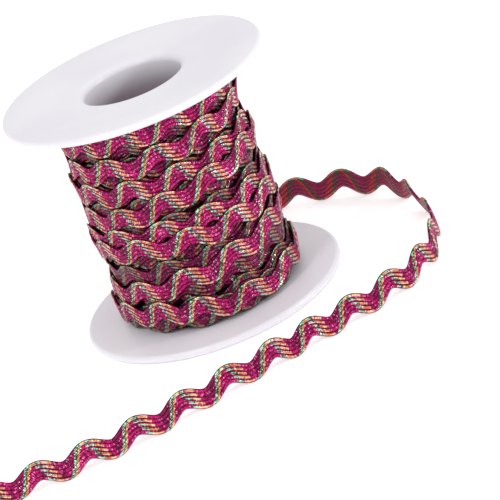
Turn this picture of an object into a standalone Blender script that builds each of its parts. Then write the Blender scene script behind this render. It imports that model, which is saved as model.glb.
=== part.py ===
"""Roll of ric rac: a moulded plastic spool, the flat wavy braid wound on it, and the braid's loose end.

The spool stands on its lower flange with its axis along +Z. The origin is at the middle of the
lower flange's underside, on the surface that the roll stands on. Sizes are in metres.
"""
import math

import bmesh
import bpy
import numpy as np

MM = 0.001

# Spool
SPOOL_HEIGHT = 69.4 * MM
FLANGE_RADIUS = 37.5 * MM
FLANGE_THICKNESS = 2.3 * MM
RIM_BAND = 3.2 * MM
DISH_DEPTH = 0.8 * MM
DISH_FLOOR_RADIUS = 20.0 * MM
BORE_RADIUS = 14.0 * MM
BORE_LIP = 2.0 * MM
CORE_RADIUS = 16.0 * MM
CORE_FILLET = 0.8 * MM
SPOOL_STEPS = 60
ARC_STEPS = 3

# Flat wavy braid, measured flat
BAND_WIDTH = 5.5 * MM
BAND_THICKNESS = 0.95 * MM
GAP = 0.3 * MM

# Winding: the radius over the outer rows at heights up the spool
WINDING_PROFILE = (
    # height, radius
    (2.6 * MM, 26.1 * MM),
    (10.0 * MM, 26.2 * MM),
    (21.0 * MM, 25.9 * MM),
    (33.0 * MM, 25.9 * MM),
    (45.0 * MM, 25.5 * MM),
    (52.0 * MM, 24.9 * MM),
    (66.8 * MM, 24.3 * MM),
)
WINDING_LEAN = 0.5 * MM
WOUND_REACH = 1.3 * MM
ROW_RELIEF = 1.2 * MM
ROW_EDGE = 4.6 * MM
WINDING_STEPS = 84
WINDING_LEVELS = 40
# The outermost laps, from where the loose end leaves them up to the upper flange. Angles count on
# from +X through every lap. Crests have whole wave numbers.
LAPS = (
    # angle, height of the braid's middle, wave
    (155.0, 6.7 * MM, -2.72),
    (235.0, 9.8 * MM, 0.0),
    (259.6, 8.8 * MM, 1.0),
    (289.9, 7.0 * MM, 2.0),
    (322.9, 7.8 * MM, 3.0),
    (584.0, 15.5 * MM, 11.0),
    (616.8, 17.3 * MM, 12.0),
    (649.0, 19.4 * MM, 13.0),
    (681.1, 21.1 * MM, 14.0),
    (955.7, 29.2 * MM, 23.0),
    (988.8, 28.8 * MM, 24.0),
    (1018.1, 28.4 * MM, 25.0),
    (1335.0, 32.7 * MM, 35.0),
    (1362.5, 32.5 * MM, 36.0),
    (1398.3, 32.5 * MM, 37.0),
    (1671.0, 38.3 * MM, 46.0),
    (1700.5, 40.6 * MM, 47.0),
    (1731.7, 42.5 * MM, 48.0),
    (1764.0, 44.3 * MM, 49.0),
    (2044.0, 46.2 * MM, 58.0),
    (2075.7, 46.6 * MM, 59.0),
    (2106.4, 47.3 * MM, 60.0),
    (2393.4, 53.1 * MM, 69.0),
    (2427.4, 53.5 * MM, 70.0),
    (2460.4, 55.4 * MM, 71.0),
    (2770.0, 61.5 * MM, 81.0),
    (2950.0, 62.4 * MM, 86.6),
)

# Loose end: where the braid, standing on one edge, runs from the winding to its cut end.
# stands_on is the height of what is under it: the lower flange, then the surface the roll stands on.
# lean is how far its top edge tips towards the spool, in degrees, and reach is how far its waves
# rise and fall there.
TAIL_STEPS = 240
TAIL_CRESTS = tuple(
    distance * MM
    for distance in (
        -10.1, 3.9, 17.9, 31.9, 45.9, 59.9, 73.9, 88.7, 103.6, 120.0, 136.9, 153.0, 167.7,
        181.0, 194.3, 207.0, 219.0, 233.2, 247.1, 261.2, 274.9, 288.6, 302.6, 316.6, 330.6,
    )
)
ON_FLANGE = FLANGE_THICKNESS + GAP
TAIL_ROUTE = (
    # x, y, stands_on, lean, reach
    (-24.5 * MM, 11.4 * MM, ON_FLANGE, 0.0, 1.3 * MM),
    (-22.5 * MM, 15.8 * MM, ON_FLANGE, 0.0, 1.3 * MM),
    (-20.1 * MM, 20.8 * MM, ON_FLANGE, 0.0, 1.3 * MM),
    (-17.0 * MM, 26.2 * MM, ON_FLANGE, 0.0, 1.3 * MM),
    (-12.7 * MM, 31.5 * MM, ON_FLANGE, 0.0, 1.3 * MM),
    (-7.1 * MM, 36.4 * MM, ON_FLANGE, 0.0, 1.4 * MM),
    (-0.7 * MM, 40.2 * MM, 2.5 * MM, -1.0, 1.4 * MM),
    (6.0 * MM, 42.6 * MM, 1.9 * MM, -3.0, 1.4 * MM),
    (12.9 * MM, 43.7 * MM, 0.9 * MM, -6.0, 1.4 * MM),
    (20.3 * MM, 43.4 * MM, 0.2 * MM, -9.0, 1.4 * MM),
    (28.8 * MM, 40.5 * MM, 0.0 * MM, -12.0, 1.5 * MM),
    (37.0 * MM, 37.4 * MM, 0.0 * MM, -14.0, 1.5 * MM),
    (44.2 * MM, 33.7 * MM, 0.0 * MM, -15.0, 1.5 * MM),
    (50.8 * MM, 29.2 * MM, 0.0 * MM, -15.0, 1.5 * MM),
    (56.2 * MM, 23.7 * MM, 0.0 * MM, -17.0, 1.5 * MM),
    (59.7 * MM, 16.8 * MM, 0.0 * MM, -6.0, 1.5 * MM),
    (62.3 * MM, 9.0 * MM, 0.0 * MM, 6.0, 1.5 * MM),
    (63.1 * MM, 0.6 * MM, 0.0 * MM, 18.0, 1.4 * MM),
    (64.2 * MM, -9.0 * MM, 0.0 * MM, 9.0, 1.4 * MM),
    (63.0 * MM, -20.2 * MM, 0.0 * MM, 7.0, 1.4 * MM),
    (59.7 * MM, -31.4 * MM, 0.0 * MM, 8.0, 1.5 * MM),
    (53.4 * MM, -40.3 * MM, 0.0 * MM, 8.0, 1.5 * MM),
    (44.0 * MM, -46.9 * MM, 0.0 * MM, 8.0, 1.5 * MM),
    (32.0 * MM, -51.9 * MM, 0.0 * MM, 8.0, 1.4 * MM),
    (18.6 * MM, -56.3 * MM, 0.0 * MM, 8.0, 1.4 * MM),
    (4.9 * MM, -61.1 * MM, 0.0 * MM, 8.0, 1.4 * MM),
    (-8.4 * MM, -65.8 * MM, 0.0 * MM, 8.0, 1.4 * MM),
    (-21.2 * MM, -70.1 * MM, 0.0 * MM, 8.0, 1.4 * MM),
    (-33.6 * MM, -73.7 * MM, 0.0 * MM, 8.0, 1.4 * MM),
    (-46.0 * MM, -76.0 * MM, 0.0 * MM, 8.0, 1.4 * MM),
    (-59.0 * MM, -76.8 * MM, 0.0 * MM, 8.0, 1.4 * MM),
    (-70.5 * MM, -77.2 * MM, 0.0 * MM, 8.0, 1.4 * MM),
    (-86.0 * MM, -77.6 * MM, 0.0 * MM, 8.0, 1.4 * MM),
)


def clear_scene():
    """Removes whatever the file holds, so that the part starts empty."""
    for item in list(bpy.data.objects):
        bpy.data.objects.remove(item, do_unlink=True)


def plastic_or_cloth(name, colour, roughness):
    """A plain Principled material."""
    material = bpy.data.materials.new(name)
    material.use_nodes = True
    shader = material.node_tree.nodes["Principled BSDF"]
    shader.inputs["Base Color"].default_value = (*colour, 1.0)
    shader.inputs["Roughness"].default_value = roughness
    shader.inputs["Metallic"].default_value = 0.0
    return material


def place_mesh(name, mesh, material):
    """Puts a finished mesh into the scene as one named object at the origin."""
    mesh.materials.append(material)
    mesh.shade_smooth()
    mesh.set_sharp_from_angle(angle=math.radians(40))
    item = bpy.data.objects.new(name, mesh)
    bpy.context.scene.collection.objects.link(item)
    return item


def arc(centre_radius, centre_height, radius, first, last, steps):
    """Points of a round edge in the (radius, height) plane, both ends included, angles in degrees."""
    angles = np.radians(np.linspace(first, last, steps + 1))
    return [(centre_radius + radius * math.cos(a), centre_height + radius * math.sin(a)) for a in angles]


def upper_half_profile():
    """The spool's section from its bore over the upper flange to its core, as (radius, height) points."""
    floor = SPOOL_HEIGHT - DISH_DEPTH
    half = FLANGE_THICKNESS / 2
    band_start = FLANGE_RADIUS - half - RIM_BAND
    points = arc(BORE_RADIUS + BORE_LIP, floor - BORE_LIP, BORE_LIP, 180, 90, ARC_STEPS)
    points.append((DISH_FLOOR_RADIUS, floor))
    points.append(((DISH_FLOOR_RADIUS + band_start) / 2, floor + 0.35 * DISH_DEPTH))
    points.append((band_start, SPOOL_HEIGHT))
    points += arc(FLANGE_RADIUS - half, SPOOL_HEIGHT - half, half, 90, -90, 2 * ARC_STEPS)
    points += arc(
        CORE_RADIUS + CORE_FILLET,
        SPOOL_HEIGHT - FLANGE_THICKNESS - CORE_FILLET,
        CORE_FILLET,
        90,
        180,
        2,
    )
    return points


def make_spool():
    """One turned body: two flanges with rounded rims and dished faces on a tube with an open bore."""
    upper = upper_half_profile()
    lower = [(radius, SPOOL_HEIGHT - height) for radius, height in reversed(upper)]
    shape = bmesh.new()
    ring = [shape.verts.new((radius, 0.0, height)) for radius, height in upper + lower]
    edges = [shape.edges.new((ring[i], ring[(i + 1) % len(ring)])) for i in range(len(ring))]
    bmesh.ops.spin(
        shape,
        geom=ring + edges,
        cent=(0, 0, 0),
        axis=(0, 0, 1),
        angle=2 * math.pi,
        steps=SPOOL_STEPS,
        use_merge=True,
    )
    bmesh.ops.remove_doubles(shape, verts=shape.verts, dist=0.001 * MM)
    bmesh.ops.recalc_face_normals(shape, faces=shape.faces)
    mesh = bpy.data.meshes.new("spool")
    shape.to_mesh(mesh)
    shape.free()
    return place_mesh("spool", mesh, plastic_or_cloth("white plastic", (0.82, 0.81, 0.84), 0.35))


def lap_middles(angle):
    """Heights of the middle of every outermost lap at an angle from 0 to 360, waves included."""
    angles, heights, waves = np.array(LAPS).T
    passes = angle + 360.0 * np.arange(int(angles[-1] / 360.0) + 1)
    passes = passes[(passes >= angles[0]) & (passes <= angles[-1])]
    crest = np.cos(2 * math.pi * np.interp(passes, angles, waves))
    return np.interp(passes, angles, heights) + WOUND_REACH * crest


def winding_radii(angle, levels):
    """The wound form's radii at one angle: its profile, raised where the wavy rows pass.

    The form is wound a little fuller on its +X side. The relief falls from its full height on a
    row's middle line, along a parabola, to nothing at ROW_EDGE from it.
    """
    heights, radii = np.array(WINDING_PROFILE).T
    lean = WINDING_LEAN * (1 + math.cos(math.radians(angle)))
    nearest = np.abs(levels[:, None] - lap_middles(angle)[None, :]).min(axis=1)
    across = np.minimum(nearest / ROW_EDGE, 1.0)
    return np.interp(levels, heights, radii) + lean - ROW_RELIEF * across**2


def make_winding():
    """One ring of wound braid around the core, its outside raised in wavy rows."""
    bottom, top = WINDING_PROFILE[0][0], WINDING_PROFILE[-1][0]
    inner = CORE_RADIUS + GAP
    levels = np.linspace(bottom, top, WINDING_LEVELS + 1)
    shape = bmesh.new()
    columns = []
    for step in range(WINDING_STEPS):
        angle = 360.0 * step / WINDING_STEPS
        cosine, sine = math.cos(math.radians(angle)), math.sin(math.radians(angle))
        outside = list(zip(winding_radii(angle, levels), levels))
        ring = [(inner + CORE_FILLET, bottom)] + outside + [(inner + CORE_FILLET, top)]
        ring += [(inner, top - CORE_FILLET), (inner, bottom + CORE_FILLET)]
        columns.append([shape.verts.new((radius * cosine, radius * sine, level)) for radius, level in ring])
    for column, following in zip(columns, columns[1:] + columns[:1]):
        for i in range(len(column)):
            j = (i + 1) % len(column)
            shape.faces.new((column[i], following[i], following[j], column[j]))
    bmesh.ops.recalc_face_normals(shape, faces=shape.faces)
    mesh = bpy.data.meshes.new("winding")
    shape.to_mesh(mesh)
    shape.free()
    return place_mesh("winding", mesh, plastic_or_cloth("wound braid", (0.45, 0.02, 0.19), 0.6))


def smooth_curve(table, parameters):
    """A natural cubic spline through the rows of a table, spaced by their chords.

    The second derivatives at the rows come from one linear system. Each parameter then takes the
    cubic of the span that it lies in.
    """
    rows = np.asarray(table, dtype=float)
    chords = np.linalg.norm(np.diff(rows[:, :3], axis=0), axis=1)
    knots = np.concatenate([[0.0], np.cumsum(chords)])
    count = len(rows)
    system = np.eye(count)
    slopes = np.diff(rows, axis=0) / chords[:, None]
    right = np.zeros_like(rows)
    for i in range(1, count - 1):
        system[i, i - 1] = chords[i - 1]
        system[i, i] = 2 * (chords[i - 1] + chords[i])
        system[i, i + 1] = chords[i]
        right[i] = 6 * (slopes[i] - slopes[i - 1])
    bends = np.linalg.solve(system, right)
    places = np.asarray(parameters) * knots[-1]
    span = np.clip(np.searchsorted(knots, places) - 1, 0, count - 2)
    width = chords[span][:, None]
    after = (places - knots[span])[:, None]
    before = width - after
    value = (bends[span] * before**3 + bends[span + 1] * after**3) / (6 * width)
    value += (rows[span] / width - bends[span] * width / 6) * before
    value += (rows[span + 1] / width - bends[span + 1] * width / 6) * after
    return value


def tail_surface(distance):
    """The middle line, the direction up the braid, its face's normal and its reach along the route.

    The middle line is as far above what the braid stands on as half of its height at that lean.
    """
    dense = smooth_curve(TAIL_ROUTE, np.linspace(0, 1, 1500))
    tilt = np.radians(dense[:, 3])
    half_height = BAND_WIDTH / 2 + dense[:, 4]
    dense[:, 2] += half_height * np.cos(tilt) + BAND_THICKNESS / 2 * np.abs(np.sin(tilt))
    along = np.concatenate([[0.0], np.cumsum(np.linalg.norm(np.diff(dense[:, :3], axis=0), axis=1))])
    middle = np.array([np.interp(distance, along, dense[:, axis]) for axis in range(3)]).T
    lean = np.interp(distance, along, tilt)[:, None]
    tangents = np.gradient(dense[:, :3], along, axis=0)
    tangent = np.array([np.interp(distance, along, tangents[:, axis]) for axis in range(3)]).T
    tangent /= np.linalg.norm(tangent, axis=1)[:, None]
    inward = np.cross(tangent, (0.0, 0.0, 1.0))
    inward /= np.linalg.norm(inward, axis=1)[:, None]
    up = np.cross(inward, tangent)
    across = up * np.cos(lean) + inward * np.sin(lean)
    normal = np.cross(tangent, across)
    return middle, across, normal, np.interp(distance, along, dense[:, 4]), along[-1]


def make_loose_end():
    """The braid's free end: a thin wavy strip on edge, its outline offset by half its width each way."""
    length = tail_surface(np.array([0.0]))[-1]
    distance = np.linspace(0, length, TAIL_STEPS + 1)
    reach = tail_surface(distance)[3]
    wave = np.interp(distance, TAIL_CRESTS, np.arange(len(TAIL_CRESTS)))
    rise = reach * np.cos(2 * math.pi * wave)
    slope = -reach * 2 * math.pi * np.gradient(wave, distance) * np.sin(2 * math.pi * wave)
    shorten = 1 / np.sqrt(1 + slope**2)
    corners = []
    for edge in (0.5, -0.5):
        shifted = np.clip(distance - edge * BAND_WIDTH * slope * shorten, 0, length)
        middle, across, normal, _, _ = tail_surface(shifted)
        line = middle + across * (rise + edge * BAND_WIDTH * shorten)[:, None]
        for side in (edge, -edge):
            corners.append(line + normal * side * BAND_THICKNESS)
    shape = bmesh.new()
    rings = [[shape.verts.new(corner[i]) for corner in corners] for i in range(TAIL_STEPS + 1)]
    for ring, following in zip(rings, rings[1:]):
        for i in range(4):
            j = (i + 1) % 4
            shape.faces.new((ring[i], following[i], following[j], ring[j]))
    shape.faces.new(rings[0])
    shape.faces.new(rings[-1])
    bmesh.ops.recalc_face_normals(shape, faces=shape.faces)
    mesh = bpy.data.meshes.new("loose_end")
    shape.to_mesh(mesh)
    shape.free()
    return place_mesh("loose_end", mesh, plastic_or_cloth("loose braid", (0.5, 0.02, 0.2), 0.6))


def main():
    """Builds the three pieces of the roll."""
    clear_scene()
    make_spool()
    make_winding()
    make_loose_end()


main()
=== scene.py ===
"""Looks for a roll of ric rac: a white moulded spool, the metallic wavy braid wound on it in laps that
cross one another, and the braid's loose end standing on one edge beside it.

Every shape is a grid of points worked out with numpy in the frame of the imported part, in metres.
"""

from __future__ import annotations

import logging
import math
from dataclasses import dataclass, field
from enum import Enum

import bpy
import numpy as np
from mathutils import Matrix, Vector

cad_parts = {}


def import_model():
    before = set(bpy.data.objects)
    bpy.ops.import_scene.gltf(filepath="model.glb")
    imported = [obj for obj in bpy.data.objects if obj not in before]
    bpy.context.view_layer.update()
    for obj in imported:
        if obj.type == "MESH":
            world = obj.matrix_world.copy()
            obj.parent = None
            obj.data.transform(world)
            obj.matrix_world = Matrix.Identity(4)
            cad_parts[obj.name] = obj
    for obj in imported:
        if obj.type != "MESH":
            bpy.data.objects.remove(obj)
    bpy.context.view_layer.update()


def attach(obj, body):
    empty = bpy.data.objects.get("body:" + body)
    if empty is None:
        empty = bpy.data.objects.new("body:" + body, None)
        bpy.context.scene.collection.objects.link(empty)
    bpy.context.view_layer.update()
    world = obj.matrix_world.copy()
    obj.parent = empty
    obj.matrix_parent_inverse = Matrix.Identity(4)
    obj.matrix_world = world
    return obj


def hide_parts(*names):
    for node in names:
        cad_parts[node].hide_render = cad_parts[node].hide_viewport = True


MM = 0.001
LOG = logging.getLogger("ric_rac")


class Side(Enum):
    """The two faces of the braid: the bright one that faces out of the roll, and the dull one."""

    FACE = 0.0
    BACK = 1.0


class Socket(Enum):
    """Names of the shader sockets that the finishes set."""

    COLOUR = "Base Color"
    ROUGHNESS = "Roughness"
    METALLIC = "Metallic"
    SPECULAR = "Specular IOR Level"
    NORMAL = "Normal"
    GLOW = "Emission Strength"
    GLOW_COLOUR = "Emission Color"


def colour(red: int, green: int, blue: int) -> tuple[float, float, float, float]:
    """Turns a colour seen on a screen, 0 to 255, into the linear one that a shader takes.

    Args:
        red: Screen red.
        green: Screen green.
        blue: Screen blue.

    Returns:
        Linear red, green and blue, and full opacity.
    """
    linear = (np.array([red, green, blue]) / 255.0) ** 2.2
    return (float(linear[0]), float(linear[1]), float(linear[2]), 1.0)


def smooth_step(low: float, high: float, value: np.ndarray) -> np.ndarray:
    """Goes from 0 at low to 1 at high along 3t^2 - 2t^3.

    Args:
        low: Where the step starts.
        high: Where it ends.
        value: Where it is read.

    Returns:
        The step's height at each value.
    """
    t = np.clip((value - low) / (high - low), 0.0, 1.0)
    return t * t * (3.0 - 2.0 * t)


class NodePad:
    """A material's node tree with short calls for the nodes that the finishes use."""

    def __init__(self, name: str) -> None:
        """Starts a material with its Principled shader.

        Args:
            name: The material's name.
        """
        self.material = bpy.data.materials.new(name)
        self.material.use_nodes = True
        self.tree = self.material.node_tree
        self.shader = self.tree.nodes["Principled BSDF"]

    def node(self, kind: str, **settings: object) -> bpy.types.Node:
        """Adds one node.

        Args:
            kind: The node's type name.
            **settings: Properties to set on it.

        Returns:
            The new node.
        """
        made = self.tree.nodes.new(kind)
        for key, value in settings.items():
            setattr(made, key, value)
        return made

    def feed(self, socket: bpy.types.NodeSocket, value: object) -> None:
        """Links a socket to another one, or sets its value."""
        if isinstance(value, bpy.types.NodeSocket):
            self.tree.links.new(value, socket)
        else:
            socket.default_value = value

    def sum(self, operation: str, *values: object, clamp: bool = False) -> bpy.types.NodeSocket:
        """Adds a Math node.

        Args:
            operation: The Math node's operation.
            *values: Numbers or sockets, in order.
            clamp: Whether the result is kept between 0 and 1.

        Returns:
            The result's socket.
        """
        made = self.node("ShaderNodeMath", operation=operation, use_clamp=clamp)
        for socket, value in zip(made.inputs, values):
            self.feed(socket, value)
        return made.outputs[0]

    def ramp(self, value: object, low: float, high: float, start: float = 0.0, end: float = 1.0) -> object:
        """Maps a value smoothly from low..high to start..end.

        Args:
            value: The number or socket read.
            low: The value that gives start.
            high: The value that gives end.
            start: The result at low.
            end: The result at high.

        Returns:
            The result's socket.
        """
        made = self.node("ShaderNodeMapRange", interpolation_type="SMOOTHSTEP")
        for index, number in enumerate((value, low, high, start, end)):
            self.feed(made.inputs[index], number)
        return made.outputs[0]

    def band(self, distance: object, half_width: float, edge: float) -> object:
        """1 inside a line of the given half width, falling to 0 over its edge, from a signed distance."""
        return self.ramp(self.sum("ABSOLUTE", distance), half_width - edge, half_width + edge, 1.0, 0.0)

    def mix(self, factor: object, first: object, second: object, blend: str = "MIX") -> object:
        """Mixes two colours.

        Args:
            factor: How much of the second shows.
            first: A colour or socket.
            second: A colour or socket.
            blend: The way they are mixed.

        Returns:
            The colour's socket.
        """
        made = self.node("ShaderNodeMix", data_type="RGBA", blend_type=blend)
        self.feed(made.inputs[0], factor)
        self.feed(made.inputs[6], first)
        self.feed(made.inputs[7], second)
        return made.outputs[2]

    def noise(self, scale: float, detail: float = 2.0) -> object:
        """Noise on the object's own coordinates, with scale in features to a metre."""
        place = self.node("ShaderNodeTexCoord").outputs["Object"]
        made = self.node("ShaderNodeTexNoise")
        self.feed(made.inputs["Vector"], place)
        made.inputs["Scale"].default_value = scale
        made.inputs["Detail"].default_value = detail
        return made.outputs["Fac"]

    def radius(self, split: bpy.types.Node) -> object:
        """The distance from the spool's axis: the root of x^2 + y^2 of a Separate XYZ node."""
        squares = [self.sum("MULTIPLY", split.outputs[axis], split.outputs[axis]) for axis in range(2)]
        return self.sum("SQRT", self.sum("ADD", *squares))

    def bump(self, height: object, distance: float, strength: float = 1.0) -> None:
        """Raises the shader's surface by a height from 0 to 1 times a distance in metres."""
        made = self.node("ShaderNodeBump")
        made.inputs["Strength"].default_value = strength
        made.inputs["Distance"].default_value = distance
        self.feed(made.inputs["Height"], height)
        self.feed(self.shader.inputs[Socket.NORMAL.value], made.outputs[0])


@dataclass(frozen=True)
class MouldedPlastic:
    """White polystyrene with a soft sheen and a very slight cool tint and orange peel.

    The bore's thin wall is painted darker away from its two mouths, as painted shade deep in the bore.
    """

    name: str = "white_moulded_plastic"
    body: tuple[int, int, int] = (234, 232, 238)
    shade: tuple[int, int, int] = (229, 227, 234)
    # wall: the colour of the painted shade deep in the bore
    wall: tuple[int, int, int] = (158, 145, 153)
    bore: tuple[float, float] = (14.1 * MM, 15.0 * MM)
    middle: float = 34.7 * MM
    bore_shade_depths: tuple[float, float] = (33.0 * MM, 24.0 * MM)
    roughness: float = 0.34

    def material(self) -> bpy.types.Material:
        """Builds the plastic's material."""
        pad = NodePad(self.name)
        flow = pad.noise(38.0, 3.0)
        tint = pad.mix(pad.ramp(flow, 0.35, 0.65), colour(*self.body), colour(*self.shade))
        split = pad.node("ShaderNodeSeparateXYZ")
        pad.feed(split.inputs[0], pad.node("ShaderNodeTexCoord").outputs["Object"])
        radius = pad.radius(split)
        depth = pad.sum("ABSOLUTE", pad.sum("SUBTRACT", split.outputs[2], self.middle))
        # painted shade: the bore's wall is mixed towards the wall colour away from its mouths
        painted_bore_shade = pad.sum("MULTIPLY", pad.ramp(radius, *self.bore, 1.0, 0.0), pad.ramp(depth, *self.bore_shade_depths[::-1], 1.0, 0.0))
        pad.feed(pad.shader.inputs[Socket.COLOUR.value], pad.mix(painted_bore_shade, tint, colour(*self.wall)))
        grain = pad.noise(900.0, 2.0)
        pad.feed(
            pad.shader.inputs[Socket.ROUGHNESS.value],
            pad.ramp(grain, 0.3, 0.7, self.roughness - 0.04, self.roughness + 0.06),
        )
        pad.shader.inputs[Socket.SPECULAR.value].default_value = 0.45
        pad.bump(grain, 0.02 * MM, 0.35)
        return pad.material


@dataclass(frozen=True)
class LurexBraid:
    """Magenta braid of metallic yarn with a green and a gold yarn that zigzag across each wave.

    It reads the braid's own map: u counts waves from trough to trough, left to right on the bright
    face, and v runs from the lower to the upper edge. Ribs follow the band, and each rib is a row
    of slanting beads. On the rising half of a wave the two coloured yarns lie side by side as solid
    lines. On the falling half each rib shows them as one green and then one gold dash, each rib's
    a little further along than the one above it. The dull face has the same lines, darker.
    Shade is how much of the gaps' near-black is mixed in all over, as painted shade for laps that lie under others.
    """

    name: str = "lurex_braid"
    ribs: int = 5
    beads_per_wave: int = 23
    line_beads: float = 12.0
    magenta: tuple[int, int, int] = (208, 14, 114)
    deep: tuple[int, int, int] = (96, 0, 60)
    # dark: the colour of the painted shade on the rising half of each wave
    dark: tuple[int, int, int] = (104, 0, 62)
    painted_glint: tuple[int, int, int] = (255, 150, 208)
    green: tuple[int, int, int] = (10, 84, 48)
    green_highlight: tuple[int, int, int] = (188, 244, 212)
    gold: tuple[int, int, int] = (196, 98, 42)
    gold_highlight: tuple[int, int, int] = (246, 222, 172)
    # gap: the near-black of painted shade in the crevices
    gap: tuple[int, int, int] = (14, 0, 8)
    back_cloth: tuple[int, int, int] = (140, 2, 68)
    back_green: tuple[int, int, int] = (40, 78, 48)
    back_gold: tuple[int, int, int] = (186, 50, 28)
    shade: float = 0.0

    def material(self) -> bpy.types.Material:
        """Builds the braid's material."""
        pad = NodePad(self.name)
        place = pad.node("ShaderNodeUVMap", uv_map="braid").outputs[0]
        split = pad.node("ShaderNodeSeparateXYZ")
        pad.feed(split.inputs[0], place)
        u, v = split.outputs[0], split.outputs[1]
        wave = pad.sum("FRACT", u)
        level = pad.sum("MULTIPLY_ADD", v, 2.0, -1.0)
        rib = pad.sum("MULTIPLY", v, float(self.ribs))
        rib_row = pad.sum("FLOOR", rib)
        rib_part = pad.sum("FRACT", rib)
        stagger = pad.sum("MULTIPLY", rib_row, 0.37)
        slant = pad.sum("MULTIPLY", rib_part, 0.7)
        bead = pad.sum("ADD", pad.sum("MULTIPLY", u, float(self.beads_per_wave)), pad.sum("ADD", stagger, slant))
        chance = self.chance(pad, pad.sum("FLOOR", bead), rib_row)
        fine_row = pad.sum("ADD", pad.sum("FLOOR", pad.sum("MULTIPLY", v, 2.6 * self.ribs)), 100.0)
        fine = self.chance(pad, pad.sum("FLOOR", pad.sum("MULTIPLY", u, 2.2 * self.beads_per_wave)), fine_row)
        tone = pad.sum("ADD", pad.sum("MULTIPLY", chance, 0.4), pad.sum("MULTIPLY", fine, 0.6))
        rib_crown = self.crown(pad, rib_part)
        bead_crown = self.crown(pad, pad.sum("FRACT", bead))
        height = pad.sum("MULTIPLY", rib_crown, pad.sum("MULTIPLY_ADD", bead_crown, 0.55, 0.45))

        green, gold, seam = self.stripes(pad, wave, level, rib_row, rib_crown)
        # painted shade: the rising half of each wave, from the trough to the green line, is darkened, standing in
        # for how light falls on its yarns
        left = pad.sum("SUBTRACT", pad.sum("MULTIPLY_ADD", level, 0.206, 0.205), wave)
        shaded = pad.sum("MULTIPLY", pad.ramp(wave, 0.0, 0.1), pad.ramp(left, 0.0, 0.05))
        cloth = pad.mix(pad.ramp(tone, 0.15, 0.7), colour(*self.deep), colour(*self.magenta))
        cloth = pad.mix(pad.sum("MULTIPLY", shaded, 0.7), cloth, colour(*self.dark))
        # painted glints: random small points go towards pale pink
        cloth = pad.mix(pad.ramp(fine, 0.88, 0.95, 0.0, 0.75), cloth, colour(*self.painted_glint))
        # partly the yarns' twist, partly painted highlight: the green and gold yarns go towards pale highlight
        # colours along each line
        twist = pad.sum("MULTIPLY_ADD", pad.sum("SINE", pad.sum("MULTIPLY", level, self.line_beads * math.pi)), 0.22, tone)
        green_yarn = pad.mix(pad.ramp(twist, 0.3, 0.75), colour(*self.green), colour(*self.green_highlight))
        gold_yarn = pad.mix(pad.ramp(twist, 0.3, 0.8), colour(*self.gold), colour(*self.gold_highlight))
        shown = pad.mix(gold, pad.mix(green, cloth, green_yarn), gold_yarn)
        # painted shade in the low parts between ribs and beads; the dark seam between the solid yarn lines is mixed
        # in with it
        crevice_shade = pad.ramp(height, 0.14, 0.74, 0.9, 0.0)
        crevice_shade = pad.sum("MAXIMUM", crevice_shade, pad.sum("MULTIPLY", seam, 0.8))
        shown = pad.mix(pad.sum("MAXIMUM", crevice_shade, self.shade), shown, colour(*self.gap))

        dull = pad.mix(green, colour(*self.back_cloth), colour(*self.back_green))
        dull = pad.mix(gold, dull, colour(*self.back_gold))
        # the same painted shade, weaker, on the dull face
        dull = pad.mix(pad.sum("MAXIMUM", pad.sum("MULTIPLY", crevice_shade, 0.6), self.shade), dull, colour(*self.gap))
        side = pad.node("ShaderNodeAttribute", attribute_name="side").outputs["Fac"]
        facing = pad.sum("SUBTRACT", 1.0, side)
        pad.feed(pad.shader.inputs[Socket.COLOUR.value], pad.mix(side, shown, dull))
        pad.feed(pad.shader.inputs[Socket.METALLIC.value], pad.sum("MULTIPLY", facing, 0.55))
        pad.feed(pad.shader.inputs[Socket.ROUGHNESS.value], pad.ramp(fine, 0.0, 1.0, 0.46, 0.16))
        pad.shader.inputs[Socket.SPECULAR.value].default_value = 0.45
        pad.bump(height, 0.2 * MM, 1.0)
        return pad.material

    def chance(self, pad: NodePad, bead_row: object, rib_row: object) -> object:
        """A fixed random number from 0 to 1 for each bead."""
        cell = pad.node("ShaderNodeCombineXYZ")
        pad.feed(cell.inputs[0], bead_row)
        pad.feed(cell.inputs[1], rib_row)
        random = pad.node("ShaderNodeTexWhiteNoise", noise_dimensions="2D")
        pad.feed(random.inputs["Vector"], cell.outputs[0])
        return random.outputs["Value"]

    def crown(self, pad: NodePad, part: object) -> object:
        """A round back over one cell: the square root of 1 - (2t - 1)^2 for t from 0 to 1."""
        centred = pad.sum("MULTIPLY_ADD", part, 2.0, -1.0)
        return pad.sum("SQRT", pad.sum("SUBTRACT", 1.0, pad.sum("MULTIPLY", centred, centred), clamp=True))

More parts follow.
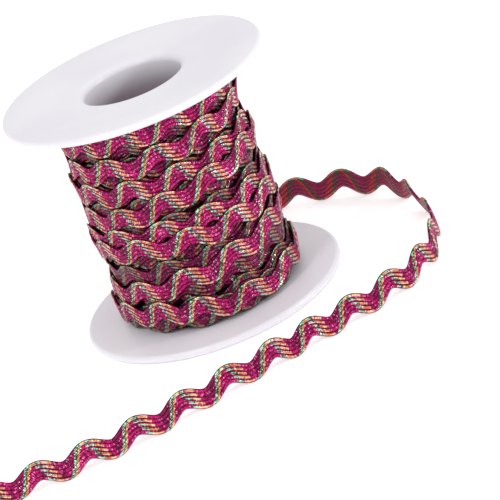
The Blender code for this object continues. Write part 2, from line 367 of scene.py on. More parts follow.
    def stripes(
        self,
        pad: NodePad,
        wave: object,
        level: object,
        rib_row: object,
        rib_crown: object,
    ) -> tuple[object, object, object]:
        """Where the green and the gold yarn show.

        Args:
            pad: The material's nodes.
            wave: How far along its wave a point is, 0 at the trough and 0.5 at the crest.
            level: How far up the band a point is, from -1 to 1.
            rib_row: The number of the rib that it is on.
            rib_crown: The height of the rib's round back there.

        Returns:
            Three masks: green, gold, and the dark seam between their solid lines.
        """
        masks = []
        for start, climb, half in ((0.205, 0.206, 0.031), (0.283, 0.225, 0.032), (0.244, 0.215, 0.007)):
            apart = pad.sum("SUBTRACT", wave, pad.sum("MULTIPLY_ADD", level, climb, start))
            masks.append(pad.band(pad.sum("SUBTRACT", apart, pad.sum("ROUND", apart)), half, 0.005))
        rib_level = pad.sum("MULTIPLY_ADD", rib_row, 2.0 / self.ribs, 1.0 / self.ribs - 1.0)
        narrow = pad.ramp(rib_crown, 0.74, 0.94)
        for index, (start, climb, half) in enumerate(((0.632, -0.165, 0.064), (0.772, -0.155, 0.072))):
            apart = pad.sum("SUBTRACT", wave, pad.sum("MULTIPLY_ADD", rib_level, climb, start))
            dash = pad.sum("MULTIPLY", pad.band(apart, half, 0.008), narrow)
            masks[index] = pad.sum("MAXIMUM", masks[index], dash)
        top_edge = pad.band(pad.sum("SUBTRACT", wave, 0.455), 0.075, 0.01)
        top_edge = pad.sum("MULTIPLY", pad.ramp(level, 0.62, 0.72), top_edge)
        masks[0] = pad.sum("MAXIMUM", masks[0], top_edge)
        return masks[0], masks[1], masks[2]


@dataclass(frozen=True)
class PaleSurface:
    """The plain pale surface that the roll stands on. It glows as painted light, lighting the roll from under like a
    light table.
    """

    name: str = "pale_surface"
    tone: tuple[int, int, int] = (253, 253, 253)
    glow: float = 0.35
    dark_under: tuple[float, float] = (33.5 * MM, 41.0 * MM)

    def material(self) -> bpy.types.Material:
        """Builds the surface's material, which doesn't glow under the spool, so less of its painted light reaches
        the bore.
        """
        pad = NodePad(self.name)
        split = pad.node("ShaderNodeSeparateXYZ")
        pad.feed(split.inputs[0], pad.node("ShaderNodeTexCoord").outputs["Object"])
        # painted light: the surface's glow, which fades out under the spool
        lit = pad.ramp(pad.radius(split), *self.dark_under, 0.0, self.glow)
        cloud = pad.noise(6.0, 1.0)
        tone = pad.mix(pad.ramp(cloud, 0.3, 0.7), colour(*self.tone), colour(252, 252, 253))
        pad.feed(pad.shader.inputs[Socket.COLOUR.value], tone)
        pad.shader.inputs[Socket.ROUGHNESS.value].default_value = 0.9
        pad.shader.inputs[Socket.SPECULAR.value].default_value = 0.1
        pad.shader.inputs[Socket.GLOW_COLOUR.value].default_value = (1.0, 1.0, 1.0, 1.0)
        pad.feed(pad.shader.inputs[Socket.GLOW.value], lit)
        return pad.material


def grid_mesh(name: str, points: np.ndarray, close_ends: bool) -> bpy.types.Mesh:
    """Makes a tube of quads from rings of points.

    Args:
        name: The mesh's name.
        points: Rings by points by three, each ring closed on itself.
        close_ends: Whether the first and last rings get a face. Otherwise they are joined.

    Returns:
        The mesh, with its faces turned outwards.
    """
    rings, count = points.shape[:2]
    steps = rings - 1 if close_ends else rings
    row = np.arange(steps)[:, None]
    column = np.arange(count)[None, :]
    following = (row + 1) % rings
    beside = (column + 1) % count
    corners = np.stack(
        [row * count + column, following * count + column, following * count + beside, row * count + beside],
        axis=-1,
    ).reshape(-1, 4)
    flat = points.reshape(-1, 3)
    volume = np.einsum("ij,ij->i", flat[corners[:, 0]], np.cross(flat[corners[:, 1]], flat[corners[:, 2]])).sum()
    volume += np.einsum("ij,ij->i", flat[corners[:, 0]], np.cross(flat[corners[:, 2]], flat[corners[:, 3]])).sum()
    outward = volume > 0
    if not outward:
        corners = corners[:, ::-1]
    loops = corners.reshape(-1)
    totals = np.full(len(corners), 4)
    if close_ends:
        first = np.arange(count)
        last = np.arange(count) + (rings - 1) * count
        caps = (first, last[::-1]) if outward else (first[::-1], last)
        loops = np.concatenate([loops, *caps])
        totals = np.concatenate([totals, [count, count]])
    starts = np.concatenate([[0], np.cumsum(totals)[:-1]])
    mesh = bpy.data.meshes.new(name)
    mesh.vertices.add(len(flat))
    mesh.vertices.foreach_set("co", flat.ravel())
    mesh.loops.add(len(loops))
    mesh.loops.foreach_set("vertex_index", loops)
    mesh.polygons.add(len(totals))
    mesh.polygons.foreach_set("loop_start", starts)
    mesh.polygons.foreach_set("loop_total", totals)
    mesh.update(calc_edges=True)
    mesh.validate()
    mesh.shade_smooth()
    return mesh


def place(mesh: bpy.types.Mesh, material: bpy.types.Material) -> bpy.types.Object:
    """Puts a mesh into the scene at the origin with its material."""
    mesh.materials.append(material)
    item = bpy.data.objects.new(mesh.name, mesh)
    bpy.context.scene.collection.objects.link(item)
    return item


@dataclass(frozen=True)
class Section:
    """The braid's cross-section as one closed loop of points.

    Attributes:
        across: Each point's place across the band, from -1 to 1.
        lift: Its height over the band's middle plane, in metres.
        side: 0 on the bright face and 1 on the dull one.
    """

    across: np.ndarray
    lift: np.ndarray
    side: np.ndarray


@dataclass(frozen=True)
class Braid:
    """The flat wavy braid, measured flat: a band of even width whose middle line is a sine wave."""

    width: float = 5.5 * MM
    thickness: float = 0.95 * MM
    reach: float = 1.3 * MM
    ribs: int = 5
    rib_depth: float = 0.3 * MM
    bead_depth: float = 0.05 * MM
    beads_per_wave: int = 23
    notch_ease: float = 0.85

    def height(self) -> float:
        """The height from trough to crest over all."""
        return self.width + 2 * self.reach

    def section(self, face_samples: int, back_samples: int) -> Section:
        """Goes along the bright face's ribs and back along the dull face.

        Each rib is a round back, the square root of 1 - t^2 over its width, and the whole face
        falls off towards the band's two edges in the same way.

        Args:
            face_samples: Points on each rib of the bright face.
            back_samples: Points over the whole dull face.

        Returns:
            The closed section.
        """
        count = self.ribs * face_samples
        face = np.linspace(-1.0, 1.0, count + 1)
        back = np.linspace(1.0, -1.0, back_samples + 2)[1:-1]
        part = (face + 1.0) / 2.0 * self.ribs
        crown = np.abs(np.sin(np.pi * part))
        edge = (1.0 - np.abs(face) ** 8) ** 0.5
        lift = (self.thickness / 2 - self.rib_depth + self.rib_depth * crown) * edge
        back_edge = (1.0 - np.abs(back) ** 8) ** 0.5
        back_lift = -self.thickness / 2 * back_edge
        return Section(
            np.concatenate([face, back]),
            np.concatenate([lift, back_lift]),
            np.concatenate([np.full(len(face), Side.FACE.value), np.full(len(back), Side.BACK.value)]),
        )

    def outline(
        self,
        u: np.ndarray,
        wave_length: np.ndarray,
        reach: np.ndarray | float,
        across: np.ndarray,
    ) -> tuple[np.ndarray, np.ndarray]:
        """Where points across the band lie in its plane.

        The middle line's height is -reach * cos(2 pi u), so u = 0 is a trough and u = 0.5 a crest.
        A point across the band is moved from the middle line along that line's normal, a little
        less to the side than up, which rounds the notches as the real braid's are.

        Args:
            u: The wave coordinate of each ring.
            wave_length: The wave's length at each ring.
            reach: How far the middle line rises and falls, one number or one for each ring.
            across: Places across the band, from -1 to 1.

        Returns:
            The shift to the right and the height over the middle, rings by points.
        """
        turn = 2 * np.pi * u
        slope = (reach * 2 * np.pi / wave_length * np.sin(turn))[:, None]
        shorten = 1.0 / np.sqrt(1.0 + slope**2)
        out = across[None, :] * self.width / 2 * shorten
        return -out * slope * self.notch_ease, (-reach * np.cos(turn))[:, None] + out

    def beads(self, u: np.ndarray, section: Section) -> np.ndarray:
        """The small rise of each bead: a cosine along each rib, half a bead out on every second rib."""
        rib = np.floor((section.across + 1.0) / 2.0 * self.ribs)
        angle = 2 * np.pi * (u[:, None] * self.beads_per_wave + 0.5 * (rib[None, :] % 2))
        inside = 1.0 - np.abs(section.across) ** 8
        return -self.bead_depth * np.cos(angle) * inside * np.sign(section.lift)

    def finish(self, mesh: bpy.types.Mesh, u: np.ndarray, section: Section) -> None:
        """Writes the braid's own map and which face each point is on.

        Args:
            mesh: The strip's mesh, ring after ring.
            u: The wave coordinate of each ring.
            section: The section that the rings have.
        """
        count = len(section.across)
        place_u = np.repeat(u, count)
        place_v = np.tile((section.across + 1.0) / 2.0, len(u))
        index = np.empty(len(mesh.loops), dtype=np.int32)
        mesh.loops.foreach_get("vertex_index", index)
        layer = mesh.uv_layers.new(name="braid")
        layer.data.foreach_set("uv", np.stack([place_u[index], place_v[index]], axis=1).ravel())
        side = mesh.attributes.new("side", "FLOAT", "POINT")
        side.data.foreach_set("value", np.tile(section.side, len(u)))


@dataclass(frozen=True)
class Line:
    """A curve read at distances along it.

    Attributes:
        along: Distances of dense samples.
        points: Their places.
        tangents: Their directions.
        lean: How far the braid's top tips inwards there, in radians.
        reach: How far the braid's waves rise and fall there.
    """

    along: np.ndarray
    points: np.ndarray
    tangents: np.ndarray
    lean: np.ndarray
    reach: np.ndarray

    def read(self, distance: np.ndarray) -> tuple[np.ndarray, np.ndarray, np.ndarray]:
        """Places, directions and leans at distances, carried straight on past either end.

        Args:
            distance: Distances of any shape.

        Returns:
            Places and directions with a last axis of three, and leans.
        """
        inside = np.clip(distance, 0.0, self.along[-1])
        spot = np.stack([np.interp(inside, self.along, self.points[:, axis]) for axis in range(3)], axis=-1)
        way = np.stack([np.interp(inside, self.along, self.tangents[:, axis]) for axis in range(3)], axis=-1)
        way = way / np.linalg.norm(way, axis=-1, keepdims=True)
        spot = spot + way * (distance - inside)[..., None]
        return spot, way, np.interp(inside, self.along, self.lean)


@dataclass
class LooseEnd:
    """The braid's free end, standing on its lower edge, from the winding to its bare cut end.

    The route's columns are x, y and the height of what is under the braid, in millimetres, and how
    far its top edge tips towards the spool, in degrees, and how far its waves rise and fall.

    The crests are distances along the route in millimetres, and the first one is on the winding.
    """

    braid: Braid
    finish: LurexBraid
    on_flange: float = 2.6
    steps_per_wave: int = 138
    crests: tuple[float, ...] = (
        (-10.1, 3.9, 17.9, 31.9, 45.9, 59.9, 73.9, 88.7, 103.6, 120.0, 136.9, 153.0, 167.7)
        + (181.0, 194.3, 207.0, 219.0, 233.2, 247.1, 261.2, 274.9, 288.6, 302.6, 316.6, 330.6)
    )
    route: tuple[tuple[float, float, float, float, float], ...] = field(init=False)

    def __post_init__(self) -> None:
        """Sets the route's points."""
        self.route = (
            (-24.5, 11.4, self.on_flange, 0.0, 1.3),
            (-22.5, 15.8, self.on_flange, 0.0, 1.3),
            (-20.1, 20.8, self.on_flange, 0.0, 1.3),
            (-17.0, 26.2, self.on_flange, 0.0, 1.3),
            (-12.7, 31.5, self.on_flange, 0.0, 1.3),
            (-7.1, 36.4, self.on_flange, 0.0, 1.4),
            (-0.7, 40.2, 2.5, -1.0, 1.4),
            (6.0, 42.6, 1.9, -3.0, 1.4),
            (12.9, 43.7, 0.9, -6.0, 1.4),
            (20.3, 43.4, 0.2, -9.0, 1.4),
            (28.8, 40.5, 0.0, -12.0, 1.5),
            (37.0, 37.4, 0.0, -14.0, 1.5),
            (44.2, 33.7, 0.0, -15.0, 1.5),
            (50.8, 29.2, 0.0, -15.0, 1.5),
            (56.2, 23.7, 0.0, -17.0, 1.5),
            (59.7, 16.8, 0.0, -6.0, 1.5),
            (62.3, 9.0, 0.0, 6.0, 1.5),
            (63.1, 0.6, 0.0, 18.0, 1.4),
            (64.2, -9.0, 0.0, 9.0, 1.4),
            (63.0, -20.2, 0.0, 7.0, 1.4),
            (59.7, -31.4, 0.0, 8.0, 1.5),
            (53.4, -40.3, 0.0, 8.0, 1.5),
            (44.0, -46.9, 0.0, 8.0, 1.5),
            (32.0, -51.9, 0.0, 8.0, 1.4),
            (18.6, -56.3, 0.0, 8.0, 1.4),
            (4.9, -61.1, 0.0, 8.0, 1.4),
            (-8.4, -65.8, 0.0, 8.0, 1.4),
            (-21.2, -70.1, 0.0, 8.0, 1.4),
            (-33.6, -73.7, 0.0, 8.0, 1.4),
            (-46.0, -76.0, 0.0, 8.0, 1.4),
            (-59.0, -76.8, 0.0, 8.0, 1.4),
            (-70.5, -77.2, 0.0, 8.0, 1.4),
            (-86.0, -77.6, 0.0, 8.0, 1.4),
        )

    def line(self) -> Line:
        """The middle line: a natural cubic spline through the route, spaced by its chords.

        The second derivatives at the points come from one linear system. Half of the braid's
        height at its lean is added to the height of what is under it.

        Returns:
            The line, with 3000 dense samples.
        """
        rows = np.array(self.route)
        chords = np.linalg.norm(np.diff(rows[:, :3], axis=0), axis=1)
        knots = np.concatenate([[0.0], np.cumsum(chords)])
        count = len(rows)
        inner = np.arange(1, count - 1)
        system = np.eye(count)
        system[inner, inner - 1] = chords[:-1]
        system[inner, inner] = 2 * (chords[:-1] + chords[1:])
        system[inner, inner + 1] = chords[1:]
        slopes = np.diff(rows, axis=0) / chords[:, None]
        right = np.zeros_like(rows)
        right[inner] = 6 * np.diff(slopes, axis=0)
        bends = np.linalg.solve(system, right)
        places = np.linspace(0.0, knots[-1], 3000)
        span = np.clip(np.searchsorted(knots, places) - 1, 0, count - 2)
        width = chords[span][:, None]
        after = (places - knots[span])[:, None]
        before = width - after
        dense = (bends[span] * before**3 + bends[span + 1] * after**3) / (6 * width)
        dense += (rows[span] / width - bends[span] * width / 6) * before
        dense += (rows[span + 1] / width - bends[span + 1] * width / 6) * after
        lean = np.radians(dense[:, 3])
        reach = dense[:, 4] * MM
        points = dense[:, :3] * MM
        points[:, 2] += (self.braid.width / 2 + reach) * np.cos(lean)
        points[:, 2] += self.braid.thickness / 2 * np.abs(np.sin(lean))
        along = np.concatenate([[0.0], np.cumsum(np.linalg.norm(np.diff(points, axis=0), axis=1))])
        return Line(along, points, np.gradient(points, along, axis=0), lean, reach)

    def build(self) -> bpy.types.Object:
        """Returns:
            The loose end.
        """
        line = self.line()
        length = float(line.along[-1])
        section = self.braid.section(4, 8)
        crests = np.array(self.crests) * MM
        ends = np.interp([0.0, length], crests, np.arange(len(crests)))
        passed = np.linspace(ends[0], ends[1], int((ends[1] - ends[0]) * self.steps_per_wave) + 1)
        distance = np.interp(passed, np.arange(len(crests)), crests)
        u = 1.5 - passed
        reach = np.interp(distance, line.along, line.reach)
        shift, rise = self.braid.outline(u, np.gradient(distance, passed), reach, section.across)
        spot, way, lean = line.read(distance[:, None] - shift)
        outward = -np.cross(way, (0.0, 0.0, 1.0))
        outward /= np.linalg.norm(outward, axis=-1, keepdims=True)
        up = np.cross(way, outward)
        tilt = lean[..., None]
        across = up * np.cos(tilt) - outward * np.sin(tilt)
        normal = outward * np.cos(tilt) + up * np.sin(tilt)
        lift = section.lift[None, :] + self.braid.beads(u, section)
        points = spot + across * rise[..., None] + normal * lift[..., None]
        mesh = grid_mesh("loose_braid", points, close_ends=True)
        self.braid.finish(mesh, u, section)
        piece = place(mesh, self.finish.material())
        middle = line.read(np.linspace(0.0, length, 80))[0]
        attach(piece, "root")
        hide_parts("loose_end")
        self.braid.height()
        return piece


class WoundSurface:
    """How far out the winding reaches, on a grid of angles around the spool and heights up it."""

    def __init__(self, radius: np.ndarray, bottom: float, top: float) -> None:
        """Starts from the bare form under the laps.

        Args:
            radius: The form's radius at even angles round and even heights from bottom to top.
            bottom: The lowest height.
            top: The highest height.
        """
        self.bottom, self.top = bottom, top
        self.angles, self.levels = radius.shape
        self.reach = radius.copy()

    def cells(self, theta: np.ndarray, height: np.ndarray) -> tuple[np.ndarray, ...]:
        """The lower corner of the cell that each place is in, and how far into it the place is."""
        around = theta / (2 * np.pi) * self.angles
        up = np.clip((height - self.bottom) / (self.top - self.bottom), 0.0, 1.0) * (self.levels - 1)
        column = np.floor(around).astype(int)
        row = np.minimum(np.floor(up).astype(int), self.levels - 2)
        return column % self.angles, row, around - column, up - row

    def read(self, theta: np.ndarray, height: np.ndarray) -> np.ndarray:
        """Reads the radius between cells, linear both ways."""
        column, row, right, up = self.cells(theta, height)
        beside = (column + 1) % self.angles
        low = self.reach[column, row] * (1 - right) + self.reach[beside, row] * right
        high = self.reach[column, row + 1] * (1 - right) + self.reach[beside, row + 1] * right
        return low * (1 - up) + high * up

    def raise_to(self, theta: np.ndarray, height: np.ndarray, radius: np.ndarray) -> None:
        """Raises the four cells around each place to a radius, where they are lower."""
        column, row, _, _ = self.cells(theta, height)
        beside = (column + 1) % self.angles
        for index in ((column, row), (beside, row), (column, row + 1), (beside, row + 1)):
            np.maximum.at(self.reach, index, radius)


def soften(level: np.ndarray, along: float, across: float) -> np.ndarray:
    """Blurs a strip's field with a bell curve each way, its edges carried on.

    Args:
        level: Rings by points across.
        along: The bell's width along the strip, in rings.
        across: Its width across the strip, in points.

    Returns:
        The blurred field.
    """
    for axis, width in ((0, along), (1, across)):
        reach = int(math.ceil(2.5 * width))
        steps = np.arange(-reach, reach + 1)
        bell = np.exp(-0.5 * (steps / width) ** 2)
        bell /= bell.sum()
        padding = [(reach, reach) if axis == other else (0, 0) for other in range(2)]
        padded = np.pad(level, padding, mode="edge")
        size = level.shape[axis]
        level = sum(weight * np.take(padded, np.arange(size) + i, axis=axis) for i, weight in enumerate(bell))
    return level


def ease(values: np.ndarray, width: float) -> np.ndarray:
    """Blurs a row of numbers with a bell curve, keeping its two ends where they are.

    Args:
        values: The numbers, at even steps.
        width: The bell's width, in steps.

    Returns:
        The blurred numbers.
    """
    reach = int(math.ceil(3 * width))
    bell = np.exp(-0.5 * (np.arange(-reach, reach + 1) / width) ** 2)
    padded = np.pad(values, reach, mode="reflect", reflect_type="odd")
    return np.convolve(padded, bell / bell.sum(), mode="valid")


@dataclass(frozen=True)
class Laps:
    """One layer of laps: a long helix of braid that is read by its angle from its lower end.

    Attributes:
        name: What the layer's meshes are called.
        angles: Angles in degrees at even steps, counted on through every lap.
        heights: Heights of the braid's middle there.
        waves: Wave coordinates there.
        steps_per_wave: Rings to a wave.
        face_samples: Points on each rib.
        parts: How many meshes the layer is split into.
        direction: 1 where angles go counter-clockwise from above, -1 where they go clockwise.
        holds_loose_end: Whether the loose end goes on from the lower end.
    """

    name: str
    angles: np.ndarray
    heights: np.ndarray
    waves: np.ndarray
    steps_per_wave: int
    face_samples: int
    parts: int = 1
    direction: int = 1
    holds_loose_end: bool = False


@dataclass
class Winding:
    """The braid wound on the spool: a core of hidden turns and three layers of laps laid on it.

    Each lap is laid like the real one, over whatever is under it: the radius under the band is
    read, drawn tight over the bumps as a stretched skin would be, and the lap's outside then
    becomes the ground for the laps that cross it.
    """

    braid: Braid
    finish: LurexBraid
    painted_shade_finish: LurexBraid
    # the hidden turns' material, nearly all painted shade
    painted_dark_core_finish: LurexBraid
    bottom: float = 2.6 * MM
    top: float = 66.8 * MM
    core_radius: float = 16.3 * MM
    mean_radius: float = 26.2 * MM
    lay_thickness: float = 0.72 * MM
    sideways: float = 0.5 * MM
    across_samples: int = 13
    profile: tuple[tuple[float, float], ...] = (
        # height, radius over all, in millimetres
        (2.6, 26.1),
        (10.0, 26.2),
        (21.0, 25.9),
        (33.0, 25.9),
        (45.0, 25.5),
        (52.0, 24.9),
        (66.8, 24.3),
    )
    outer_table: tuple[tuple[float, float, float], ...] = (
        # angle, height of the middle in millimetres, wave; crests are at a half
        (155.0, 6.7, 0.78),
        (235.0, 9.8, 3.5),
        (259.6, 8.8, 4.5),
        (289.9, 7.0, 5.5),
        (322.9, 7.8, 6.5),
        (584.0, 15.5, 14.5),
        (616.8, 17.3, 15.5),
        (649.0, 19.4, 16.5),
        (681.1, 21.1, 17.5),
        (955.7, 29.2, 26.5),
        (988.8, 28.8, 27.5),
        (1018.1, 28.4, 28.5),
        (1335.0, 32.7, 38.5),
        (1362.5, 32.5, 39.5),
        (1398.3, 32.5, 40.5),
        (1671.0, 38.3, 49.5),
        (1700.5, 40.6, 50.5),
        (1731.7, 42.5, 51.5),
        (1764.0, 44.3, 52.5),
        (2044.0, 46.2, 61.5),
        (2075.7, 46.6, 62.5),
        (2106.4, 47.3, 63.5),
        (2393.4, 53.1, 72.5),
        (2427.4, 53.5, 73.5),
        (2460.4, 55.4, 74.5),
        (2770.0, 61.5, 84.5),
        (2950.0, 62.4, 90.1),
    )
    junction_radius: float = 27.0 * MM
    under_layers: int = 2
    seed: int = 11

    def outer_laps(self) -> Laps:
        """The outermost layer, from where the loose end leaves it up to the upper flange."""
        knots, heights, waves = np.array(self.outer_table).T
        angles = np.arange(knots[0], knots[-1] + 0.5, 1.0)
        return Laps(
            "outer_laps",
            angles,
            ease(np.interp(angles, knots, heights) * MM, 8.0),
            ease(np.interp(angles, knots, waves), 8.0),
            steps_per_wave=90,
            face_samples=4,
            parts=2,
            holds_loose_end=True,
        )

    def under_laps(self, layer: int, random: np.random.Generator) -> Laps:
        """A hidden layer whose helix crosses the outer one, with uneven pitch and waves.

        Its first and last turns lie flat against the flanges.

        Args:
            layer: Which layer it is, 0 for the innermost.
            random: The seeded source of its unevenness.

        Returns:
            The layer.
        """
        turns = 11
        start = 40.0 + 97.0 * layer
        low = self.bottom + self.braid.height() / 2
        high = self.top - self.braid.height() / 2
        knots = start + 360.0 * np.arange(turns + 1)
        heights = np.linspace(low, high, turns - 1) + random.uniform(-0.8, 0.8, turns - 1) * MM
        heights = np.clip(np.concatenate([[low], heights, [high]]), low, high)
        waves = np.cumsum(np.concatenate([[random.uniform()], 11.3 + random.uniform(-0.45, 0.45, turns)]))
        angles = np.arange(knots[0], knots[-1] + 0.5, 1.0)
        return Laps(
            f"under_laps_{layer + 1}",
            angles,
            ease(np.interp(angles, knots, heights), 30.0),
            ease(np.interp(angles, knots, waves), 30.0),
            steps_per_wave=26,
            face_samples=3,
            direction=-1 if layer % 2 == 0 else 1,
        )

    def form(self, levels: np.ndarray, theta: np.ndarray) -> np.ndarray:
        """The radius under the laps: the winding's profile, fuller on the +X side, less its layers.

        Args:
            levels: Heights.
            theta: Angles, in radians.

        Returns:
            Radii, angles by heights.
        """
        heights, radii = np.array(self.profile).T * MM
        under = np.interp(levels, heights, radii) - (self.under_layers + 1) * self.lay_thickness * 1.45
        return under[None, :] + self.sideways * (1.0 + np.cos(theta))[:, None]

    def ground(self) -> WoundSurface:
        """The form under the laps, ready to be raised."""
        theta = np.linspace(0.0, 2 * np.pi, 480, endpoint=False)
        return WoundSurface(self.form(np.linspace(self.bottom, self.top, 214), theta), self.bottom, self.top)

    def lay(self, laps: Laps, surface: WoundSurface, material: bpy.types.Material) -> list[bpy.types.Object]:
        """Lays one layer on the surface, a quarter turn at a time, and makes its meshes.

        Args:
            laps: The layer.
            surface: What is under it, which the layer then raises.
            material: The layer's material.

        Returns:
            The layer's pieces.
        """
        section = self.braid.section(laps.face_samples, 3)
        total = laps.waves[-1] - laps.waves[0]
        u = laps.waves[0] + np.linspace(0.0, total, int(total * laps.steps_per_wave) + 1)
        angle = np.radians(np.interp(u, laps.waves, laps.angles))
        middle = np.interp(u, laps.waves, laps.heights)
        wave_length = np.gradient(angle, u) * self.mean_radius
        samples = np.linspace(-1.0, 1.0, self.across_samples)
        shift, rise = self.braid.outline(u, wave_length, self.braid.reach, samples)
        theta = laps.direction * (angle[:, None] + shift / self.mean_radius)
        under = self.stretch(laps, surface, angle, theta, middle[:, None] + rise)
        if laps.holds_loose_end:
            join = self.junction_radius - self.lay_thickness / 2
            blend = smooth_step(math.radians(50.0), 0.0, angle - angle[0])[:, None]
            under += np.maximum(join - under, 0.0) * blend

        shift, rise = self.braid.outline(u, wave_length, self.braid.reach, section.across)
        theta = laps.direction * (angle[:, None] + shift / self.mean_radius)
        weights = np.array([np.interp(section.across, samples, row) for row in np.eye(self.across_samples)])
        lift = section.lift * (self.lay_thickness / self.braid.thickness)
        radius = under @ weights + self.lay_thickness / 2 + lift[None, :] + self.braid.beads(u, section)
        points = np.stack([radius * np.cos(theta), radius * np.sin(theta), middle[:, None] + rise], axis=-1)
        pieces = []
        ends = np.linspace(0, len(u) - 1, laps.parts + 1).astype(int)
        for part, (first, last) in enumerate(zip(ends[:-1], ends[1:]), start=1):
            name = f"{laps.name}_{part}" if laps.parts > 1 else laps.name
            mesh = grid_mesh(name, points[first : last + 1], close_ends=True)
            self.braid.finish(mesh, u[first : last + 1], section)
            pieces.append(place(mesh, material))
        return pieces

    def stretch(
        self,
        laps: Laps,
        surface: WoundSurface,
        angle: np.ndarray,
        theta: np.ndarray,
        height: np.ndarray,
    ) -> np.ndarray:
        """Reads what is under the band and draws the band tight over it.

        The stretched skin is the larger of the ground and the blurred skin, taken ten times. Each
        quarter turn starts from the end of the one before it, and raises the surface one quarter
        turn later, so that the band never climbs on its own end.

        Args:
            laps: The layer.
            surface: What is under the band.
            angle: Each ring's angle along the layer, in radians.
            theta: Angles round the spool, rings by points across.
            height: Heights, rings by points across.

        Returns:
            The radius under the band, rings by points across.
        """
        along = 1.3 * MM / (13.8 * MM / laps.steps_per_wave)
        across = 0.8 * MM / (self.braid.width / (self.across_samples - 1))
        order = np.arange(len(angle)) if laps.direction < 0 else np.arange(len(angle))[::-1]
        pieces = max(1, int(round((angle[-1] - angle[0]) / (np.pi / 2))))
        under = np.zeros_like(theta)
        waiting: np.ndarray | None = None
        before = np.zeros((0, theta.shape[1]))
        for part in np.array_split(order, pieces):
            ground = surface.read(theta[part], height[part])
            tied = np.concatenate([before, ground])
            skin = tied.copy()
            for _ in range(10):
                skin = np.maximum(tied, soften(skin, along, across))
            skin = np.maximum(soften(skin, along / 2, across / 2), tied - 0.1 * MM)
            under[part] = skin[len(before) :]
            before = under[part][-60:]
            if waiting is not None:
                self.raise_surface(surface, waiting, theta, height, under)
            waiting = part
        self.raise_surface(surface, waiting, theta, height, under)
        return under

    def raise_surface(
        self,
        surface: WoundSurface,
        part: np.ndarray,
        theta: np.ndarray,
        height: np.ndarray,
        under: np.ndarray,
    ) -> None:
        """Raises the surface to the outside of one stretch of band, on twice as many points across."""
        fine = np.linspace(0, self.across_samples - 1, 2 * self.across_samples - 1)
        coarse = np.arange(self.across_samples)
        weights = np.array([np.interp(fine, coarse, row) for row in np.eye(self.across_samples)])
        outside = under[part] @ weights + self.lay_thickness
        surface.raise_to(theta[part] @ weights, height[part] @ weights, outside)

    def hidden_core(self) -> bpy.types.Object:
        """The drum of turns under the laps, seen only as the dark at the bottom of the gaps; its material is nearly
        all painted shade.
        """
        levels = np.linspace(self.bottom, self.top, 60)
        theta = np.linspace(0.0, 2 * np.pi, 120, endpoint=False)
        outside = self.form(levels, theta) + 0.12 * MM * np.sin(levels / (1.9 * MM))
        ring_radius = np.concatenate([outside, np.full((len(theta), 2), self.core_radius)], axis=1)
        ring_height = np.concatenate([levels, [self.top, self.bottom]])
        turn = theta[:, None]
        height = np.broadcast_to(ring_height, ring_radius.shape)
        points = np.stack([ring_radius * np.cos(turn), ring_radius * np.sin(turn), height], axis=-1)
        mesh = grid_mesh("hidden_turns", points, close_ends=False)
        wave = np.broadcast_to(turn / (2 * np.pi) * 12.0, ring_radius.shape)
        index = np.empty(len(mesh.loops), dtype=np.int32)
        mesh.loops.foreach_get("vertex_index", index)
        layer = mesh.uv_layers.new(name="braid")
        band = height / (7.1 * MM)
        layer.data.foreach_set("uv", np.stack([wave.ravel()[index], band.ravel()[index]], axis=1).ravel())
        side = mesh.attributes.new("side", "FLOAT", "POINT")
        side.data.foreach_set("value", np.full(len(mesh.vertices), Side.BACK.value))
        return place(mesh, self.painted_dark_core_finish.material())

    def build(self) -> list[bpy.types.Object]:
        """Lays the hidden layers and then the outer one.

        Returns:
            The winding's pieces, the innermost first.
        """
        random = np.random.default_rng(self.seed)
        surface = self.ground()
        pieces = [self.hidden_core()]
        # painted shade: the under laps get a darker copy of the braid's material
        shaded = self.painted_shade_finish.material()
        for layer in range(self.under_layers):
            pieces += self.lay(self.under_laps(layer, random), surface, shaded)
        pieces += self.lay(self.outer_laps(), surface, self.finish.material())
        for piece in pieces:
            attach(piece, "root")
            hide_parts("winding")
        return pieces


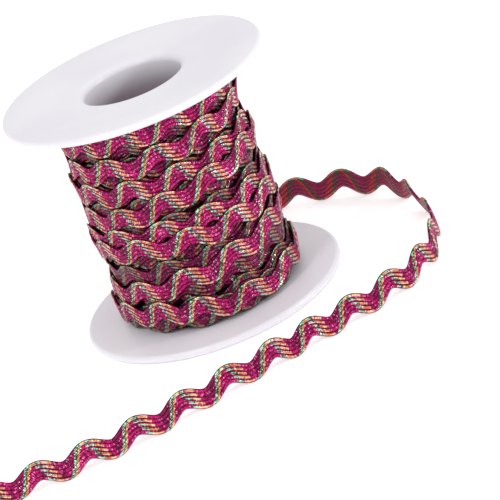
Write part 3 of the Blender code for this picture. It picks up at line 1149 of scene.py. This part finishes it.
@dataclass
class Spool:
    """The moulded spool: two dished flanges with rounded rims on a tube with a rounded mouth."""

    finish: MouldedPlastic
    height: float = 69.4 * MM
    flange_radius: float = 37.5 * MM
    flange_thickness: float = 2.3 * MM
    rim_band: float = 3.2 * MM
    dish_depth: float = 0.8 * MM
    dish_floor: float = 20.0 * MM
    bore_radius: float = 14.0 * MM
    bore_lip: float = 2.0 * MM
    core_radius: float = 16.0 * MM
    core_fillet: float = 0.8 * MM
    segments: int = 240

    def arc(self, radius: float, height: float, size: float, first: float, last: float, steps: int) -> np.ndarray:
        """Points of a round edge.

        Args:
            radius: The arc's centre, out from the axis.
            height: The arc's centre, up the axis.
            size: The arc's own radius.
            first: Its first angle, in degrees.
            last: Its last angle, in degrees.
            steps: How many steps it takes.

        Returns:
            Pairs of radius and height.
        """
        angles = np.radians(np.linspace(first, last, steps + 1))
        return np.stack([radius + size * np.cos(angles), height + size * np.sin(angles)], axis=1)

    def upper_half(self) -> np.ndarray:
        """The section from the bore over the upper flange to the tube.

        The dished face rises from its floor to the rim's band as the smooth step 3t^2 - 2t^3.

        Returns:
            Pairs of radius and height.
        """
        floor = self.height - self.dish_depth
        half = self.flange_thickness / 2
        band_start = self.flange_radius - half - self.rim_band
        radii = np.linspace(self.dish_floor, band_start, 14)
        dish = np.stack([radii, floor + self.dish_depth * smooth_step(self.dish_floor, band_start, radii)], axis=1)
        wall = np.stack([np.full(8, self.bore_radius), np.linspace(self.height / 2 + MM, floor - self.bore_lip - MM, 8)], axis=1)
        fillet_height = self.height - self.flange_thickness - self.core_fillet
        return np.concatenate(
            [
                wall,
                self.arc(self.bore_radius + self.bore_lip, floor - self.bore_lip, self.bore_lip, 180, 90, 10),
                dish,
                self.arc(self.flange_radius - half, self.height - half, half, 90, -90, 18),
                self.arc(self.core_radius + self.core_fillet, fillet_height, self.core_fillet, 90, 180, 6),
            ]
        )

    def build(self) -> bpy.types.Object:
        """Turns the section round the axis.

        Returns:
            The spool.
        """
        upper = self.upper_half()
        lower = upper[::-1] * (1.0, -1.0) + (0.0, self.height)
        profile = np.concatenate([upper, lower])
        theta = np.linspace(0.0, 2 * np.pi, self.segments, endpoint=False)[:, None]
        radius, height = profile[None, :, 0], profile[None, :, 1]
        points = np.stack(
            [radius * np.cos(theta), radius * np.sin(theta), np.broadcast_to(height, (self.segments, len(profile)))],
            axis=-1,
        )
        mesh = grid_mesh("moulded_spool", points, close_ends=False)
        piece = place(mesh, self.finish.material())
        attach(piece, "root")
        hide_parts("spool")
        return piece


@dataclass
class Studio:
    """A plain pale surface, soft light and the camera at the photo's angle."""

    surface: PaleSurface
    camera_place: tuple[float, float, float] = (0.0, -681.6, 297.1)
    camera_aim: tuple[float, float, float] = (13.6, 0.0, 8.6)
    camera_roll: float = -20.97
    lens: float = 189.5
    sensor: float = 36.0

    def floor(self) -> bpy.types.Object:
        """A wide flat square under the roll."""
        half = 3.0
        mesh = bpy.data.meshes.new("pale_floor")
        mesh.from_pydata([(-half, -half, 0.0), (half, -half, 0.0), (half, half, 0.0), (-half, half, 0.0)], [], [(0, 1, 2, 3)])
        item = place(mesh, self.surface.material())
        return item

    def light(self, name: str, spot: tuple[float, float, float], size: float, power: float) -> None:
        """Adds one soft square light aimed at the roll.

        Args:
            name: The light's name.
            spot: Its place, in metres.
            size: Its side, in metres.
            power: Its power, in watts.
        """
        lamp = bpy.data.lights.new(name, "AREA")
        lamp.shape = "SQUARE"
        lamp.size = size
        lamp.energy = power
        item = bpy.data.objects.new(name, lamp)
        item.location = spot
        item.rotation_euler = (Vector((0.0, 0.0, 0.03)) - Vector(spot)).to_track_quat("-Z", "Y").to_euler()
        bpy.context.scene.collection.objects.link(item)

    def camera(self) -> None:
        """Adds the camera, aimed at a point by the roll and turned about its own axis."""
        data = bpy.data.cameras.new("photo_camera")
        data.lens = self.lens
        data.sensor_width = self.sensor
        data.clip_start = 0.01
        item = bpy.data.objects.new("photo_camera", data)
        spot = Vector(self.camera_place) * MM
        aim = Vector(self.camera_aim) * MM
        turn = (aim - spot).to_track_quat("-Z", "Y").to_matrix().to_4x4()
        item.matrix_world = Matrix.Translation(spot) @ turn @ Matrix.Rotation(math.radians(self.camera_roll), 4, "Z")
        bpy.context.scene.collection.objects.link(item)
        bpy.context.scene.camera = item

    def build(self) -> None:
        """Sets up the floor, the world, the lights and the camera."""
        self.floor()
        world = bpy.data.worlds.new("soft_white")
        world.use_nodes = True
        world.node_tree.nodes["Background"].inputs[0].default_value = (1.0, 1.0, 1.0, 1.0)
        world.node_tree.nodes["Background"].inputs[1].default_value = 0.8
        bpy.context.scene.world = world
        bpy.context.scene.view_settings.view_transform = "Standard"
        self.light("key", (-0.55, -0.65, 0.95), 0.2, 3.2)
        self.light("fill", (0.98, -0.35, 0.4), 0.16, 2.9)
        self.camera()


def main() -> None:
    """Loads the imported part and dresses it."""
    logging.basicConfig(level=logging.INFO, format="%(name)s: %(message)s")
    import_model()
    Studio(PaleSurface()).build()
    braid = Braid()
    finish = LurexBraid(ribs=braid.ribs, beads_per_wave=braid.beads_per_wave)
    spool = Spool(MouldedPlastic()).build()
    LOG.info("spool: %d faces", len(spool.data.polygons))
    loose = LooseEnd(braid, finish).build()
    LOG.info("loose end: %d faces", len(loose.data.polygons))
    # painted shade: darker copies of the braid's material for the under laps and the hidden turns
    hidden = LurexBraid("lurex_braid_in_shade", braid.ribs, braid.beads_per_wave, shade=0.58)
    core = LurexBraid("lurex_braid_in_the_dark", braid.ribs, braid.beads_per_wave, shade=0.85)
    for piece in Winding(braid, finish, hidden, core).build():
        LOG.info("%s: %d faces", piece.name, len(piece.data.polygons))


if __name__ == "__main__":
    main()
